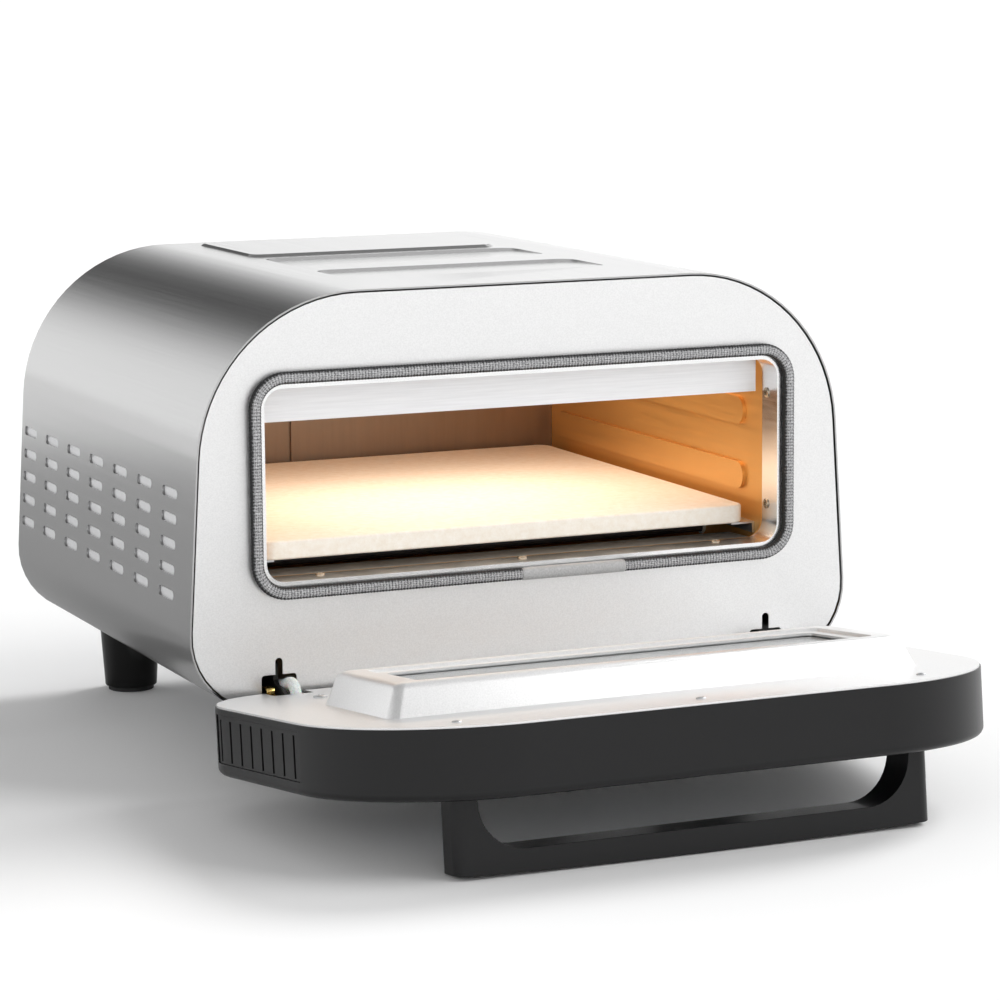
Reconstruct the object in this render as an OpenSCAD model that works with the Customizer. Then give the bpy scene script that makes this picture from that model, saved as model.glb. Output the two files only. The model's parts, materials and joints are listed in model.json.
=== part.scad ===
// Countertop pizza oven with a drop-down door, a sliding baking stone,
// rod heaters, two control knobs and a start button on the door.
// Frame: X to the right, +Y to the rear, +Z up, ground at z = 0.
// The door is drawn resting open; it closes about the hinge axis.

/* [Body] */
// Height of the cabinet, without the feet
body_h = 267; // [240:1:300]
// Depth of the cabinet, front panel to rear panel
body_d = 385; // [330:1:440]
// Half width to the centre of the lower corner radius
low_cx = 185.3; // [170:0.1:200]
// Lower corner radius of the cabinet outline
low_r = 50; // [30:1:60]
// Half width to the centre of the upper corner radius
top_cx = 118.6; // [100:0.1:140]
// Upper corner radius of the cabinet outline
top_r = 110; // [80:1:120]
// Lean of the cabinet sides, degrees
lean = 3.5; // [0:0.1:8]
// Sheet thickness of the cabinet
sheet = 1.1; // [0.8:0.1:2]
// Inset of the front and rear panels inside the wrap
panel_inset = 2.2; // [1.4:0.1:4]
// Height of the raised rear panel on the top
emboss_h = 1.5; // [0.5:0.1:3]
// Depth of the two sunken ramps on the top
ramp_depth = 1.9; // [0.5:0.1:3]

/* [Side vents] */
// Vent slots in a row
vent_cols = 7; // [3:1:9]
// Rows of vent slots
vent_rows = 5; // [2:1:7]
// Distance between slot centres along the side
vent_pitch_y = 52.2; // [40:0.1:60]
// Distance between rows
vent_pitch_z = 16.3; // [12:0.1:20]
// Length of a slot
vent_len = 30; // [20:1:40]
// Height of a slot
vent_w = 6.3; // [4:0.1:9]

/* [Feet] */
// Height of the feet
foot_h = 56; // [30:1:80]
// Foot radius at the ground
foot_r1 = 18.75; // [12:0.25:25]
// Foot radius at the cabinet
foot_r2 = 22.25; // [12:0.25:30]
// Half distance between the feet, left to right
foot_x = 160; // [120:1:180]
// Distance of the front feet behind the front panel
foot_y1 = 45; // [25:1:80]
// Distance of the rear feet behind the front panel
foot_y2 = 360; // [300:1:365]

/* [Throat and cavity] */
// Half width of the throat opening
throat_hw = 183; // [160:1:200]
// Underside of the throat above the cabinet bottom
throat_lo = 82.5; // [60:0.5:100]
// Top of the throat above the cabinet bottom
throat_hi = 206.7; // [180:0.5:220]
// Cavity floor above the cabinet bottom
cavity_lo = 64; // [50:1:80]
// Cavity ceiling above the cabinet bottom
cavity_hi = 225; // [200:1:235]
// Depth at which the cavity ends
cavity_d = 366; // [300:1:375]

/* [Stone] */
// Half width of the baking stone
stone_hw = 175; // [140:1:178]
// Front edge of the stone behind the front panel
stone_y = 28; // [22:1:50]
// Depth of the stone
stone_d = 330; // [250:1:336]
// Thickness of the stone
stone_t = 12.4; // [8:0.1:20]
// Underside of the stone above the cabinet bottom
stone_lo = 91.4; // [80:0.1:110]
// Radius of the stone's corners
stone_r = 10; // [4:1:20]

/* [Door] */
// Thickness of the door without plug and handle
door_t = 44; // [30:1:60]
// Gap between closed door and front panel
door_gap = 8; // [4:0.5:14]
// Resting angle of the open door, from closed
door_open = 83.8; // [60:0.1:88]
// Hinge axis in front of the front panel
hinge_fwd = 13.2; // [8:0.1:20]
// Hinge axis above the cabinet bottom
hinge_up = 7.7; // [5:0.1:20]
// Wall of the door cover
cover_wall = 2.2; // [1.5:0.1:4]
// Rounding of the cover's outer edge
cover_round = 5; // [1:0.5:8]
// Height of the plug on the inner panel
plug_h = 20; // [8:1:30]
// Lower end of the side grille on the door
grille_lo = 40; // [20:1:60]
// Upper end of the side grille on the door
grille_hi = 169; // [120:1:200]

/* [Handle] */
// Half length of the handle
handle_hw = 159; // [120:1:190]
// Lower side of the handle on the door
handle_lo = 211; // [190:1:225]
// Upper side of the handle on the door
handle_hi = 238; // [225:1:250]
// Reach of the handle from the door, at its middle
handle_out = 49.6; // [30:0.1:52]
// How much less the handle reaches at its ends
handle_crown = 2.6; // [0:0.1:6]
// How much less the handle reaches along its inner side
handle_slant = 3; // [0:0.1:6]
// Depth of the finger gap
handle_gap = 34; // [24:0.5:38]
// Inner radius of the finger gap
handle_fillet = 30; // [10:1:34]

/* [Controls] */
// Height of the controls on the door
ctrl_t = 38; // [30:1:48]
// Distance of each knob from the middle
knob_x = 78; // [50:1:110]
// Knob diameter
knob_d = 34; // [24:1:40]
// Knob height
knob_h = 13; // [8:1:16]
// Travel of the start button
button_travel = 2; // [1:0.5:3]

/* [Hidden] */
$fn = 64;
z0 = foot_h;
hinge_y = -hinge_fwd;
hinge_z = z0 + hinge_up;
top_z = z0 + body_h;
spacer_h = 12;
// The origin is centred between the open door's far edge and the rear spacers.
face_y = -door_gap - door_t;
door_far = hinge_y + (face_y + cover_round - hinge_y) * cos(door_open)
    - (body_h - hinge_up) * sin(door_open);
y_front = -(door_far + body_d + spacer_h) / 2;
steel = [0.74, 0.74, 0.73];
wrap_c = [0.66, 0.66, 0.66];
black = [0.06, 0.06, 0.065];
dark = [0.22, 0.22, 0.23];
zinc = [0.60, 0.61, 0.62];
ceram = [0.90, 0.88, 0.82];
brass = [0.72, 0.56, 0.26];
blued = [0.45, 0.34, 0.26];

// ---- helpers -------------------------------------------------------------

function arc(cx, cy, r, a0, a1, n) =
    [for (i = [0:n]) [cx + r * cos(a0 + (a1 - a0) * i / n), cy + r * sin(a0 + (a1 - a0) * i / n)]];

function half_outline(d) = concat(
    arc(low_cx, z0 + low_r, low_r - d, -90, lean, 10),
    arc(top_cx, top_z - top_r, top_r - d, lean, 90, 18));

function flip(p) = [for (i = [len(p) - 1:-1:0]) [-p[i][0], p[i][1]]];

function round_rect(w, h, r, n = 6) = concat(
    arc(w / 2 - r, -h / 2 + r, r, -90, 0, n),
    arc(w / 2 - r, h / 2 - r, r, 0, 90, n),
    arc(-w / 2 + r, h / 2 - r, r, 90, 180, n),
    arc(-w / 2 + r, -h / 2 + r, r, 180, 270, n));

// Cabinet and door outline, d inside the outer face.
module outline(d = 0) {
    polygon(concat(half_outline(d), flip(half_outline(d))));
}

// Rounded rectangle between two heights, middle on X = 0.
module window2d(hw, lo, hi, r, n = 6) {
    translate([0, (lo + hi) / 2]) polygon(round_rect(2 * hw, hi - lo, r, n));
}

// Extrudes an X-Z drawing from y = a to y = b.
module along_y(a, b) {
    translate([0, b, 0]) rotate([90, 0, 0]) linear_extrude(b - a) children();
}

// Extrudes a Y-Z drawing from x = a to x = b.
module along_x(a, b) {
    translate([a, 0, 0]) rotate([90, 0, 90]) linear_extrude(b - a) children();
}

module rod_x(a, b, r) {
    translate([a, 0, 0]) rotate([0, 90, 0]) cylinder(r = r, h = b - a);
}

module rod_y(a, b, r) {
    translate([0, b, 0]) rotate([90, 0, 0]) cylinder(r = r, h = b - a);
}

// Box given by its lowest and highest corner.
module span(p, q) {
    translate(p) cube([q[0] - p[0], q[1] - p[1], q[2] - p[2]]);
}

module body_place() {
    translate([0, y_front, 0]) children();
}

// Turns a closed door to its open rest.
module door_place() {
    translate([0, y_front + hinge_y, hinge_z])
        rotate([door_open, 0, 0])
            translate([0, -hinge_y, -hinge_z]) children();
}

// Copies the right-hand shape to both sides.
module both() {
    children();
    mirror([1, 0, 0]) children();
}

module side(s) {
    if (s < 0) {
        mirror([1, 0, 0]) children();
    } else {
        children();
    }
}

// Button-head screw along +Y, its head at y from -head to 0.
module screw_y(r, head, len) {
    rod_y(-head, 0, r * 1.9);
    rod_y(-0.01, len, r);
}

// ---- cabinet -------------------------------------------------------------

module vent_cutters() {
    for (k = [0:vent_cols - 1]) {
        for (j = [0:vent_rows - 1]) {
            translate([0, 49.3 + k * vent_pitch_y, z0 + 137.5 - j * vent_pitch_z])
                along_x(-260, 260)
                    polygon(round_rect(vent_len, vent_w, vent_w / 2 - 0.05, 5));
        }
    }
}

// Raised panel at the rear of the top, with a sloped border.
module raised_panel(y1, y2) {
    hull() {
        translate([-5, (y1 + y2) / 2, top_z - 0.6])
            linear_extrude(0.1) polygon(round_rect(190, y2 - y1, 10, 6));
        translate([-5, (y1 + y2) / 2, top_z + emboss_h - 0.1])
            linear_extrude(0.1) polygon(round_rect(184, y2 - y1 - 6, 8, 6));
    }
}

// Sunken ramp: deepest at its rear edge y2, level with the top at y1.
module ramp(y1, y2, grow, lift) {
    intersection() {
        translate([-2, (y1 + y2) / 2, top_z - 20])
            linear_extrude(40) polygon(round_rect(190 + 2 * grow, y2 - y1 + 2 * grow, 12 + grow, 6));
        along_x(-110, 110) polygon([
            [y1 - grow, top_z + lift],
            [y2 + grow, top_z - ramp_depth + lift],
            [y2 + grow, top_z + 4 + lift],
            [y1 - grow, top_z + 4 + lift]]);
    }
}

ramp_at = [[72, 137], [172, 237]];

module outer_shell() {
    color(wrap_c) body_place() {
        difference() {
            union() {
                along_y(-0.6, body_d) difference() {
                    outline();
                    outline(sheet);
                }
                for (r = ramp_at) {
                    intersection() {
                        ramp(r[0], r[1], sheet, -sheet);
                        translate([-110, 0, top_z - 10]) cube([220, 300, 9.6]);
                    }
                }
            }
            for (r = ramp_at) {
                ramp(r[0], r[1], 0, 0);
            }
            span([-176, -5, z0 - 1], [176, body_d + 5, z0 + 3]);
            vent_cutters();
        }
        raised_panel(250, 368);
    }
}

module base_plate() {
    color(zinc) body_place() difference() {
        union() {
            span([-175.6, 3, z0], [175.6, 380, z0 + 1.2]);
            span([-175.6, 3, z0 + 1.2], [175.6, 4.2, z0 + 14]);
            span([-175.6, 378.8, z0 + 1.2], [175.6, 380, z0 + 14]);
        }
        for (x = [-120:20:120]) {
            translate([x, 200, z0 - 1]) linear_extrude(4) polygon(round_rect(6, 90, 2.9, 5));
        }
        translate([0, 0, z0 + 10]) rod_y(370, 390, 2);
        // gaps in the front flange for the hinge arm and the sleeve
        both() span([158, 2, z0 + 3], [176, 5, z0 + 15]);
        both() {
            translate([foot_x, foot_y1, z0 - 1]) cylinder(r = 2.7, h = 5);
            translate([foot_x, foot_y2, z0 - 1]) cylinder(r = 2.7, h = 5);
        }
    }
}

module front_panel() {
    color(steel) body_place() difference() {
        along_y(0, 1.2) outline(panel_inset);
        along_y(-1, 3) window2d(throat_hw + 1.6, z0 + throat_lo - 1.6, z0 + throat_hi + 1.6, 13.6);
        both() {
            along_y(-1, 3) translate([175.5, z0 + 27]) polygon(round_rect(5, 12.6, 2.4, 5));
            along_y(-1, 3) translate([175.5, z0 + 14]) polygon(round_rect(23.8, 17, 2, 4));
        }
    }
}

module rear_panel() {
    color(zinc) body_place() difference() {
        along_y(body_d - 2.4, body_d - 1.2) outline(panel_inset);
        for (x = [-105:15:105]) {
            along_y(body_d - 4, body_d + 1) translate([x, z0 + 200]) polygon(round_rect(5, 44, 2.4, 5));
        }
        for (x = [-105:15:105]) {
            along_y(body_d - 4, body_d + 1) translate([x, z0 + 32]) polygon(round_rect(5, 24, 2.4, 5));
        }
        translate([-160, 0, z0 + 30]) rod_y(body_d - 4, body_d + 1, 8.1);
        both() translate([150, 0, z0 + 190]) rod_y(body_d - 4, body_d + 1, 2.1);
        for (p = rear_screw_at) {
            translate([p[0], 0, z0 + p[1]]) rod_y(body_d - 4, body_d + 1, 1.9);
        }
    }
}

rear_screw_at = [[-205, 60], [205, 60], [-205, 130], [205, 130], [-110, 252], [110, 252], [0, 252], [0, 10]];

module rear_screws() {
    color(zinc) body_place() for (p = rear_screw_at) {
        translate([p[0], body_d - 1.2, z0 + p[1]]) mirror([0, 1, 0]) screw_y(1.8, 1.6, 7);
    }
}

module rear_spacer(s) {
    color(black) body_place() side(s) translate([150, 0, z0 + 190]) difference() {
        union() {
            rod_y(body_d - 1.2, body_d + spacer_h - 2, 11);
            rod_y(body_d + spacer_h - 2.01, body_d + spacer_h, 9);
            rod_y(body_d - 6, body_d - 1.19, 2);
        }
        rod_y(body_d + spacer_h - 3, body_d + spacer_h + 1, 3);
    }
}

module vent_baffle(s) {
    color([0.90, 0.90, 0.89]) body_place() side(s)
        along_y(24, body_d - 3.4) polygon([
            [231.9, z0 + 60],
            [233.3, z0 + 60],
            [227.7, z0 + 150],
            [226.3, z0 + 150]]);
}

module foot(s, y) {
    color(black) body_place() side(s) translate([foot_x, y, 0]) difference() {
        translate([0, 0, 3]) cylinder(r1 = foot_r1, r2 = foot_r2, h = z0 - 3);
        translate([0, 0, z0 - 20]) cylinder(r = 2.55, h = 21);
        translate([0, 0, 2]) cylinder(r = 15.05, h = 3);
    }
}

module foot_pad(s, y) {
    color([0.12, 0.12, 0.12]) body_place() side(s) translate([foot_x, y, 0]) {
        cylinder(r = 16.5, h = 2.9);
        cylinder(r = 15, h = 4.9);
    }
}

module foot_screws() {
    color(zinc) body_place() both() {
        for (y = [foot_y1, foot_y2]) {
            translate([foot_x, y, z0 - 16]) cylinder(r = 2.5, h = 17.3);
            translate([foot_x, y, z0 + 1.25]) cylinder(r = 5, h = 3);
        }
    }
}

// ---- throat, seal and cavity ---------------------------------------------

module throat_frame() {
    color([0.80, 0.80, 0.79]) body_place() difference() {
        union() {
            along_y(-1.6, 19.8)
                window2d(throat_hw + 1.2, z0 + throat_lo - 1.2, z0 + throat_hi + 1.2, 13.2);
            along_y(-1.6, -0.3)
                window2d(throat_hw + 2.6, z0 + throat_lo - 2.6, z0 + throat_hi + 2.6, 14.6);
            along_y(1.4, 2.6) window2d(throat_hw + 12, z0 + throat_lo - 12, z0 + throat_hi + 12, 20);
        }
        along_y(-3, 22) window2d(throat_hw, z0 + throat_lo, z0 + throat_hi, 12);
        throat_screw_places() cylinder(r = 1.6, h = 6, center = true);
    }
}

// Screws of the throat: each child points out of the throat along +Z.
module throat_screw_places() {
    for (x = [-141, 2, 145]) {
        translate([x, 15, z0 + throat_lo]) rotate([180, 0, 0]) children();
    }
    for (x = [-125, -6, 115]) {
        translate([x, 9, z0 + throat_hi]) children();
    }
    for (z = [106, 182]) {
        translate([throat_hw, 13.5, z0 + z]) rotate([0, 90, 0]) children();
        translate([-throat_hw, 13.5, z0 + z]) rotate([0, -90, 0]) children();
    }
}

module throat_screws() {
    color(zinc) body_place() throat_screw_places() {
        translate([0, 0, -1.5]) cylinder(r = 2.9, h = 1.5);
        translate([0, 0, -0.01]) cylinder(r = 1.5, h = 4);
    }
}

module seal_ring() {
    difference() {
        window2d(194.3, z0 + 71.2, z0 + 217.7, 25, 10);
        window2d(throat_hw + 2.9, z0 + throat_lo - 2.9, z0 + throat_hi + 2.9, 14.9, 8);
    }
}

module door_seal() {
    color([0.45, 0.45, 0.46]) body_place() difference() {
        along_y(-7.6, -0.1) seal_ring();
        span([-7.8, -9, z0 + 60], [67.8, 2, z0 + 84]);
    }
}

module seal_sleeve() {
    color([0.72, 0.72, 0.72]) body_place() {
        span([-7.5, -7.8, z0 + 70.8], [67.5, -0.1, z0 + 79.4]);
    }
}

module rib(z, sgn) {
    side(sgn) translate([182.1, 0, 0]) along_x(-0.9, 1.9)
        translate([199, z0 + z]) polygon(round_rect(308, 19, 9, 6));
}

module cavity_liner() {
    color(blued) body_place() difference() {
        union() {
            difference() {
                along_y(20, cavity_d) window2d(185, z0 + cavity_lo - 1.2, z0 + cavity_hi + 1.2, 14);
                along_y(21.2, cavity_d + 1) window2d(183.8, z0 + cavity_lo, z0 + cavity_hi, 12.8);
                along_y(19, 22) window2d(throat_hw, z0 + throat_lo, z0 + throat_hi, 12);
            }
            rib(120.5, 1);
            rib(120.5, -1);
            rib(165.5, 1);
            rib(165.5, -1);
        }
        for (p = heater_at) {
            translate([0, p[0], z0 + p[1]]) rod_x(-190, 190, 5.2);
        }
    }
}

module cavity_back_panel() {
    color([0.52, 0.43, 0.34]) body_place() difference() {
        union() {
            along_y(cavity_d + 0.2, cavity_d + 1.4)
                window2d(183.6, z0 + cavity_lo + 0.2, z0 + cavity_hi - 0.2, 12.6);
            span([-30, cavity_d - 2, z0 + cavity_lo + 8], [30, cavity_d + 0.3, z0 + cavity_hi - 8]);
        }
        translate([172, 0, z0 + cavity_hi - 12]) rod_y(cavity_d - 1, cavity_d + 3, 1.4);
    }
}

module throat_sill() {
    color([0.62, 0.62, 0.61]) body_place() {
        along_x(-180, 180) polygon([
            [21.6, z0 + 79.6],
            [21.6, z0 + 80.8],
            [62, z0 + 79.6],
            [62, z0 + 78.4]]);
        along_x(-169, 169) polygon([
            [60, z0 + 78.5],
            [60, z0 + 79.5],
            [62, z0 + 79.6],
            [70, z0 + 66.2],
            [84, z0 + 65.4],
            [84, z0 + 64.2],
            [69.2, z0 + 65.0]]);
    }
}

module heat_baffle() {
    color([0.82, 0.81, 0.79]) body_place() {
        intersection() {
            along_y(24, 25.2) window2d(180, z0 + cavity_lo, z0 + cavity_hi - 0.3, 12.6);
            span([-190, 20, z0 + 182], [190, 30, z0 + 240]);
        }
        span([-166, 25.1, z0 + cavity_hi - 1.5], [166, 46, z0 + cavity_hi - 0.3]);
    }
}

heater_at = [[95, 209], [238, 209], [110, 76], [275, 76]];

module heater(i) {
    color([0.35, 0.33, 0.32]) body_place() translate([0, heater_at[i][0], z0 + heater_at[i][1]]) {
        rod_x(-194, 194, 3.5);
        both() rod_x(193.9, 203, 1.6);
    }
}

module heater_supports() {
    color(ceram) body_place() for (p = heater_at) {
        translate([0, p[0], z0 + p[1]]) both() difference() {
            union() {
                rod_x(181.8, 193, 5);
                rod_x(185.3, 188.4, 8);
            }
            rod_x(180, 195, 3.55);
        }
    }
}

module insulation_blanket() {
    color([0.86, 0.84, 0.76]) body_place() difference() {
        along_y(22, cavity_d - 1) window2d(197, z0 + cavity_lo - 1, z0 + cavity_hi + 14, 27, 8);
        along_y(20, cavity_d) window2d(185.4, z0 + cavity_lo - 3, z0 + cavity_hi + 1.6, 14.4);
        for (p = heater_at) {
            translate([0, p[0], z0 + p[1]]) rod_x(-200, 200, 9);
        }
    }
}

module stone_rail(s) {
    color(zinc) body_place() side(s) {
        span([166, stone_y + 4, z0 + stone_lo - 1.5], [182, 350, z0 + stone_lo - 0.3]);
        span([181.9, stone_y + 4, z0 + stone_lo - 8], [183.6, 350, z0 + stone_lo - 0.3]);
    }
}

module pizza_stone() {
    color([0.86, 0.81, 0.70]) body_place()
        translate([0, stone_y + stone_d / 2, z0 + stone_lo])
            linear_extrude(stone_t) polygon(round_rect(2 * stone_hw, stone_d, stone_r, 6));
}

module temperature_probe() {
    color([0.78, 0.74, 0.66]) body_place() {
        translate([172, 0, z0 + cavity_hi - 12]) {
            rod_y(250, 330, 3);
            rod_y(329.9, cavity_d + 6, 1.2);
        }
        span([171.2, 262, z0 + cavity_hi - 9.2], [172.8, 268, z0 + cavity_hi - 0.3]);
        span([171.2, 312, z0 + cavity_hi - 9.2], [172.8, 318, z0 + cavity_hi - 0.3]);
    }
}

// ---- electrics in the cabinet --------------------------------------------

module power_board() {
    color([0.10, 0.35, 0.20]) body_place() {
        span([-150, 215, z0 + 8], [-50, 285, z0 + 9.6]);
        span([-145, 225, z0 + 9.55], [-115, 250, z0 + 28]);
        span([-105, 222, z0 + 9.55], [-85, 240, z0 + 24]);
        for (x = [-146, -54]) {
            for (y = [219, 281]) {
                translate([x, y, z0 + 1.25]) cylinder(r = 3, h = 6.8);
            }
        }
    }
}

module terminal_block() {
    color([0.88, 0.86, 0.80]) body_place() {
        span([-100, 320, z0 + 1.3], [-50, 338, z0 + 16]);
    }
}

module cord_gland() {
    color(black) body_place() translate([-160, 0, z0 + 30]) difference() {
        union() {
            rod_y(body_d - 14, body_d + 4, 8);
            rod_y(body_d - 1.15, body_d + 5, 12);
            rod_y(body_d - 7, body_d - 2.45, 12);
        }
        rod_y(body_d - 16, body_d + 7, 4.25);
    }
}

// ---- hinge ----------------------------------------------------------------

module hinge_bracket(s) {
    color([0.10, 0.10, 0.10]) body_place() side(s) difference() {
        union() {
            along_x(174, 177) translate([hinge_y, hinge_z]) polygon(concat(
                arc(0, 0, 4.6, 100, 270, 12),
                [[7, -1.3], [58, -1.3], [58, -6.2], [64, -6.2], [64, 23]],
                arc(24, 19, 4, 90, 180, 5),
                [[20, 10], [17, 7.5], [6, 6.5]]));
            span([168, 44.8, z0 + 1.5], [180, 50.8, z0 + 3.2]);
        }
        translate([0, hinge_y, hinge_z]) rod_x(170, 180, 3.05);
    }
}

module hinge_pin(s) {
    color(brass) door_place() side(s) translate([0, hinge_y, hinge_z]) {
        rod_x(172.9, 184.2, 3);
        rod_x(171.7, 173.6, 4.2);
        rod_x(182.3, 184.6, 4.4);
    }
}

module hinge_carrier(s) {
    color(dark) door_place() side(s) difference() {
        union() {
            along_x(178.6, 181.2) polygon([
                [-9.6, z0 + 3],
                [-9.6, z0 + 46],
                [-26, z0 + 46],
                [-26, z0 + 20],
                [-19, z0 + 3]]);
            span([174.4, -24, z0 + 38], [180, -9.6, z0 + 46]);
        }
        translate([0, hinge_y, hinge_z]) rod_x(170, 190, 3.02);
    }
}

module harness_body_half() {
    color([0.80, 0.80, 0.80]) body_place() translate([-167.4, hinge_y, hinge_z]) {
        sphere(r = 2.9);
        rotate([-80, 0, 0]) cylinder(r = 2.9, h = 60);
    }
}

module harness_door_half() {
    color([0.80, 0.80, 0.80]) door_place() translate([-167.4, hinge_y, hinge_z]) difference() {
        rotate([8, 0, 0]) cylinder(r = 2.9, h = 34);
        sphere(r = 4.8);
    }
}

// ---- door, drawn closed and turned open -----------------------------------

door_screw_at = [[-168, 49], [168, 49], [-155, 239], [155, 239], [0, 246]];
handle_screw_x = handle_hw - 8;

// Rounded outer edge of the cover.
module rounded_face() {
    hull() {
        for (k = [0:5]) {
            a = 90 * k / 5;
            along_y(face_y + cover_round * (1 - sin(a)), face_y + cover_round * (1 - sin(a)) + 0.05)
                outline(cover_round * (1 - cos(a)));
        }
    }
}

module door_cover() {
    color(black) door_place() difference() {
        union() {
            difference() {
                union() {
                    along_y(face_y + cover_round, -door_gap - 1.25) outline();
                    rounded_face();
                }
                along_y(face_y + cover_wall, 0) outline(cover_wall + 1.4);
                along_y(face_y + cover_round + 1, 0) outline(cover_wall);
            }
            for (p = door_screw_at) {
                translate([p[0], 0, z0 + p[1]]) rod_y(face_y + 1, -door_gap - 1.5, 5);
            }
        }
        // window through the outer face
        along_y(face_y - 1, face_y + 4) window2d(150, z0 + 102, z0 + 178, 12);
        // opening for the side grilles
        both() span([200, -door_gap - 35.5, z0 + grille_lo], [250, -door_gap - 5, z0 + grille_hi]);
        // room for the hinge arm and the sleeve
        both() span([160.5, -door_gap - 15, z0 - 1], [187.5, 0, z0 + 3]);
        // controls
        for (x = [-knob_x, knob_x]) {
            translate([x, 0, z0 + ctrl_t]) rod_y(face_y - 1, face_y + 4, 3.3);
        }
        translate([0, 0, z0 + ctrl_t]) rod_y(face_y - 1, face_y + 4, 7.3);
        for (x = [-28, 28]) {
            translate([x, 0, z0 + ctrl_t]) rod_y(face_y - 1, face_y + 4, 2.6);
        }
        for (p = door_screw_at) {
            translate([p[0], 0, z0 + p[1]]) rod_y(-30, 0, 1.7);
        }
        both() translate([handle_screw_x, 0, z0 + (handle_lo + handle_hi) / 2])
            rod_y(face_y - 1, face_y + 4, 2.7);
    }
}

// Cross-section of the plug at height h, drawn d smaller.
module plug_slice(h, d) {
    k = h / plug_h;
    y = h - door_gap;
    along_y(y - 0.05, y)
        window2d(180 - 8.5 * k - d, z0 + 83.5 + 4.5 * k + d, z0 + 196 - 8 * k - d, 9 - 3 * k, 6);
}

// Plug with rounded shoulders, d smaller all round.
module plug_block(d) {
    r = 4;
    hull() {
        plug_slice(-1.2 - d / 2, d);
        for (k = [0:4]) {
            plug_slice(plug_h - d - r + r * sin(22.5 * k), d + r * (1 - cos(22.5 * k)));
        }
    }
}

module door_inner_panel() {
    color(steel) door_place() difference() {
        union() {
            along_y(-door_gap - 1.2, -door_gap) outline(0.9);
            plug_block(0);
        }
        difference() {
            plug_block(1.3);
            along_y(-door_gap + plug_h - 3.4, 40) window2d(170, z0 + 80, z0 + 195, 4);
        }
        along_y(-door_gap + plug_h - 2, 40) window2d(157, z0 + 101, z0 + 180, 6);
        along_y(-60, 60) window2d(148, z0 + 110, z0 + 171, 6);
        both() span([160.5, -20, z0], [187.5, 5, z0 + 18]);
        for (p = door_screw_at) {
            translate([p[0], 0, z0 + p[1]]) rod_y(-20, 0, 1.9);
        }
    }
}

module door_screws() {
    color(zinc) door_place() for (p = door_screw_at) {
        translate([p[0], -door_gap, z0 + p[1]]) mirror([0, 1, 0]) screw_y(1.65, 1.4, 15);
    }
}

module inner_glass() {
    color([0.35, 0.37, 0.38, 0.5]) door_place()
        along_y(plug_h - door_gap - 8, plug_h - door_gap - 4) window2d(160, z0 + 98, z0 + 182, 8);
}

module glass_seal() {
    color([0.55, 0.10, 0.06]) door_place() along_y(plug_h - door_gap - 4, plug_h - door_gap - 3.4)
        difference() {
            window2d(159, z0 + 99, z0 + 181, 8);
            window2d(150, z0 + 108, z0 + 173, 6);
        }
}

module glass_clips() {
    color(zinc) door_place() for (x = [-110, 110]) {
        span([x - 10, plug_h - door_gap - 9.4, z0 + 93.2], [x + 10, plug_h - door_gap - 8.1, z0 + 104]);
        span([x - 10, plug_h - door_gap - 9.4, z0 + 92], [x + 10, plug_h - door_gap - 3.6, z0 + 93.2]);
        span([x - 10, plug_h - door_gap - 9.4, z0 + 176], [x + 10, plug_h - door_gap - 8.1, z0 + 185.6]);
        span([x - 10, plug_h - door_gap - 9.4, z0 + 184.6], [x + 10, plug_h - door_gap - 3.6, z0 + 185.8]);
    }
}

module outer_glass() {
    color([0.10, 0.11, 0.12, 0.6]) door_place()
        along_y(face_y + cover_wall + 0.1, face_y + cover_wall + 4.1) window2d(160, z0 + 94, z0 + 186, 8);
}

module glass_holders() {
    color(dark) door_place() for (x = [-140, 0, 140]) {
        for (z = [88, 184]) {
            span([x - 12, face_y + cover_wall + 4.2, z0 + z], [x + 12, face_y + cover_wall + 6, z0 + z + 8]);
        }
    }
}

// Grille following the outline of the door side, with upright slots.
module vent_grille(s) {
    color([0.09, 0.09, 0.095]) door_place() side(s) difference() {
        intersection() {
            along_y(-door_gap - 35.2, -door_gap - 5.3) difference() {
                outline(0.9);
                outline(cover_wall + 1.6);
            }
            span([190, -60, z0 + grille_lo + 0.3], [250, 0, z0 + grille_hi - 0.3]);
        }
        for (k = [0:7]) {
            translate([0, -door_gap - 21, z0 + 48 + k * 16.1])
                span([190, -13, -1.3], [250, 13, 1.3]);
        }
    }
}

// Outer side of the handle: reach falls towards the ends.
function crown(n) =
    [for (i = [0:n]) let (u = 2 * i / n - 1) [u * handle_hw, handle_out - handle_crown * u * u]];

function handle_plan() = concat(
    [[-handle_hw, 0]],
    crown(12),
    [[handle_hw, 0], [handle_hw - 15, 0]],
    arc(handle_hw - 15 - handle_fillet, handle_gap - handle_fillet, handle_fillet, 0, 90, 10),
    arc(-handle_hw + 15 + handle_fillet, handle_gap - handle_fillet, handle_fillet, 90, 180, 10),
    [[-handle_hw + 15, 0]]);

module handle() {
    mid = (handle_lo + handle_hi) / 2;
    wide = handle_hi - handle_lo;
    color(black) door_place() difference() {
        intersection() {
            translate([0, face_y - 0.05, z0 + handle_lo]) mirror([0, 1, 0])
                linear_extrude(wide) polygon(handle_plan());
            along_y(face_y - 60, face_y) translate([0, z0 + mid])
                polygon(round_rect(2 * handle_hw, wide, 8, 6));
            along_x(-200, 200) polygon([
                [face_y + 1, z0 + handle_lo],
                [face_y + 1, z0 + handle_hi],
                [face_y - handle_out - 0.05, z0 + handle_hi],
                [face_y - handle_out - 0.05 + handle_slant, z0 + handle_lo]]);
        }
        both() translate([handle_screw_x, 0, z0 + mid]) rod_y(face_y - 16, face_y + 1, 2.55);
    }
}

module handle_screws() {
    color(zinc) door_place() both() translate([handle_screw_x, 0, z0 + (handle_lo + handle_hi) / 2]) {
        rod_y(face_y - 14, face_y + cover_wall + 0.1, 2.5);
        rod_y(face_y + cover_wall + 0.05, face_y + cover_wall + 3.2, 4.8);
    }
}

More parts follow.
